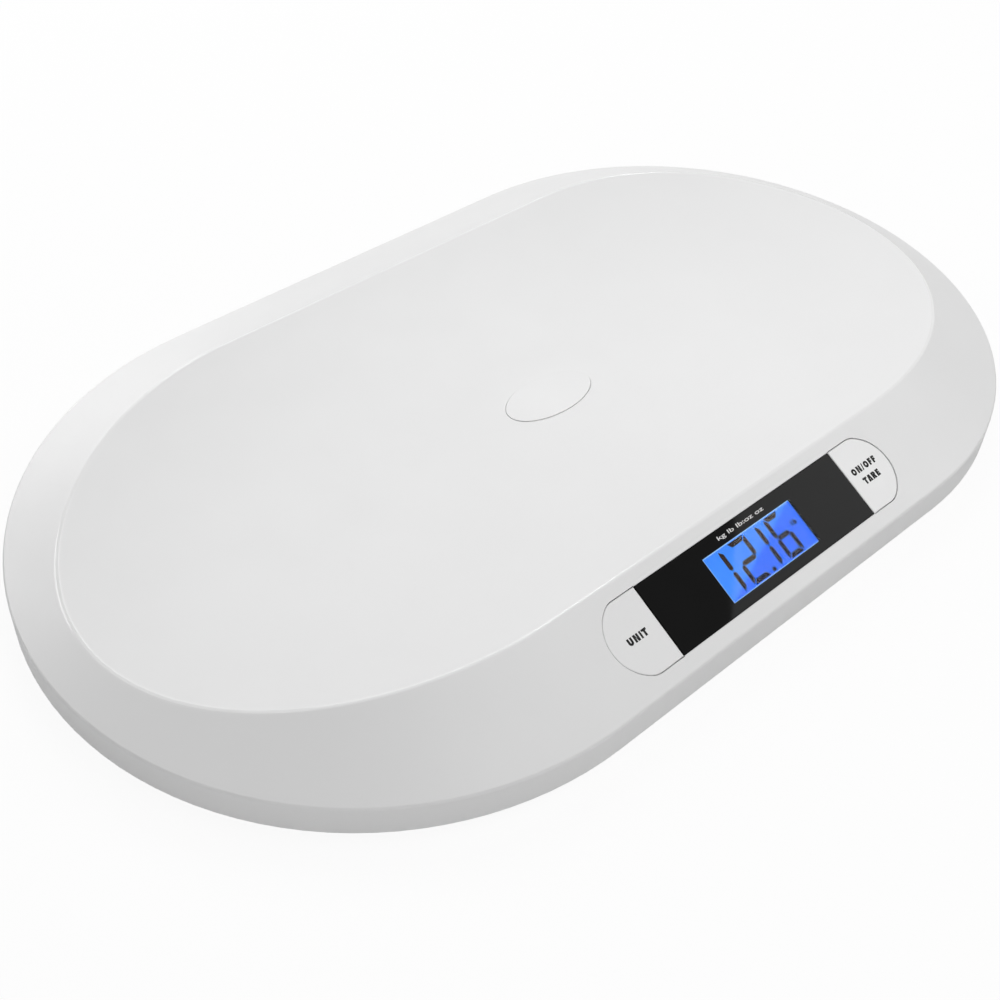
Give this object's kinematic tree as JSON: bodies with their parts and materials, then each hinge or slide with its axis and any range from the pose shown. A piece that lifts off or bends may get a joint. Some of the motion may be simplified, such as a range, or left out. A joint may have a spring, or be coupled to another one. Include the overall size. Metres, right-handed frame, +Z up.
{
  "type": "digital baby weighing scale",
  "caption": "Low stadium-shaped scale with a trough-like weighing tray, a display window between two keys on its front slope, sprung feet on load cells and a battery door underneath.",
  "frame": {"origin": "on the floor under the middle of the scale", "axes": "+X along the length to the right seen from the front, -Y towards the display side, +Z up"},
  "size_m": [0.5499, 0.33, 0.0444],
  "materials": {
    "shell_white": "satin-gloss moulded ABS",
    "inlay_white": "satin moulded ABS",
    "cover_white": "fine-textured moulded ABS",
    "window_black": "polished acrylic, back-printed black round the clear area",
    "lcd_glass": "polarised display glass",
    "light_guide": "clear moulded light guide",
    "holder_white": "moulded ABS",
    "elastomer_grey": "banded elastomer",
    "board_green": "solder mask over glass-fibre board",
    "epoxy_black": "potting epoxy",
    "screw_steel": "zinc-plated",
    "contact_nickel": "nickel-plated spring strip",
    "lead_sheath": "thin wire sheath",
    "key_white": "satin-gloss moulded ABS",
    "switch_black": "moulded nylon",
    "plunger_grey": "moulded nylon",
    "battery_case": "plain printed sleeve",
    "cell_steel": "stamped, nickel-plated",
    "gauge_silicone": "silicone coating",
    "retainer_white": "moulded ABS",
    "foot_white": "moulded ABS",
    "pad_rubber": "soft moulded rubber"
  },
  "bodies": {
    "scale_body": {"top_shell": "shell_white", "pan_inlay": "inlay_white", "base_cover": "cover_white", "display_window": "window_black", "lcd_panel": "lcd_glass", "lcd_backlight": "light_guide", "lcd_holder": "holder_white", "lcd_contact_strip": "elastomer_grey", "main_board": "board_green", "controller_chip": "epoxy_black", "board_screws": "screw_steel", "base_screws": "screw_steel", "retainer_screws": "screw_steel", "contact_positive": "contact_nickel", "contact_negative": "contact_nickel", "contact_jumper_left": "contact_nickel", "contact_jumper_right": "contact_nickel", "battery_lead": "lead_sheath", "unit_switch": "switch_black", "tare_switch": "switch_black", "battery_1": "battery_case", "battery_2": "battery_case", "battery_3": "battery_case", "load_cell_front_left": "cell_steel", "strain_gauge_front_left": "gauge_silicone", "cell_retainer_front_left": "retainer_white", "cell_lead_front_left": "lead_sheath", "load_cell_front_right": "cell_steel", "strain_gauge_front_right": "gauge_silicone", "cell_retainer_front_right": "retainer_white", "cell_lead_front_right": "lead_sheath", "load_cell_rear_left": "cell_steel", "strain_gauge_rear_left": "gauge_silicone", "cell_retainer_rear_left": "retainer_white", "cell_lead_rear_left": "lead_sheath", "load_cell_rear_right": "cell_steel", "strain_gauge_rear_right": "gauge_silicone", "cell_retainer_rear_right": "retainer_white", "cell_lead_rear_right": "lead_sheath"},
    "unit_key": {"unit_button": "key_white", "unit_switch_plunger": "plunger_grey"},
    "tare_key": {"tare_button": "key_white", "tare_switch_plunger": "plunger_grey"},
    "door": {"battery_door": "cover_white"},
    "foot_unit_front_left": {"foot_front_left": "foot_white", "foot_pad_front_left": "pad_rubber"},
    "foot_unit_front_right": {"foot_front_right": "foot_white", "foot_pad_front_right": "pad_rubber"},
    "foot_unit_rear_left": {"foot_rear_left": "foot_white", "foot_pad_rear_left": "pad_rubber"},
    "foot_unit_rear_right": {"foot_rear_right": "foot_white", "foot_pad_rear_right": "pad_rubber"}
  },
  "joints": [
    {"name": "unit_press", "type": "slide", "parent": "scale_body", "child": "unit_key", "axis": [0, 0.4415, -0.8973], "range_m": [0, 0.0005], "stiffness_N_per_m": 600, "springref_m": -0.001},
    {"name": "tare_press", "type": "slide", "parent": "scale_body", "child": "tare_key", "axis": [0, 0.4415, -0.8973], "range_m": [0, 0.0005], "stiffness_N_per_m": 600, "springref_m": -0.001},
    {"name": "foot_front_left_travel", "type": "slide", "parent": "scale_body", "child": "foot_unit_front_left", "axis": [0, 0, 1], "range_m": [0, 0.0005], "stiffness_N_per_m": 2000, "springref_m": -0.003, "deforming": ["load_cell_front_left"]},
    {"name": "foot_front_right_travel", "type": "slide", "parent": "scale_body", "child": "foot_unit_front_right", "axis": [0, 0, 1], "range_m": [0, 0.0005], "stiffness_N_per_m": 2000, "springref_m": -0.003, "deforming": ["load_cell_front_right"]},
    {"name": "foot_rear_left_travel", "type": "slide", "parent": "scale_body", "child": "foot_unit_rear_left", "axis": [0, 0, 1], "range_m": [0, 0.0005], "stiffness_N_per_m": 2000, "springref_m": -0.003, "deforming": ["load_cell_rear_left"]},
    {"name": "foot_rear_right_travel", "type": "slide", "parent": "scale_body", "child": "foot_unit_rear_right", "axis": [0, 0, 1], "range_m": [0, 0.0005], "stiffness_N_per_m": 2000, "springref_m": -0.003, "deforming": ["load_cell_rear_right"]},
    {"name": "battery_door_hinge", "type": "hinge", "parent": "scale_body", "child": "door", "pos_m": [-0.0313, 0, 0.0066], "axis": [0, 1, 0], "range_deg": [0, 75]}
  ]
}
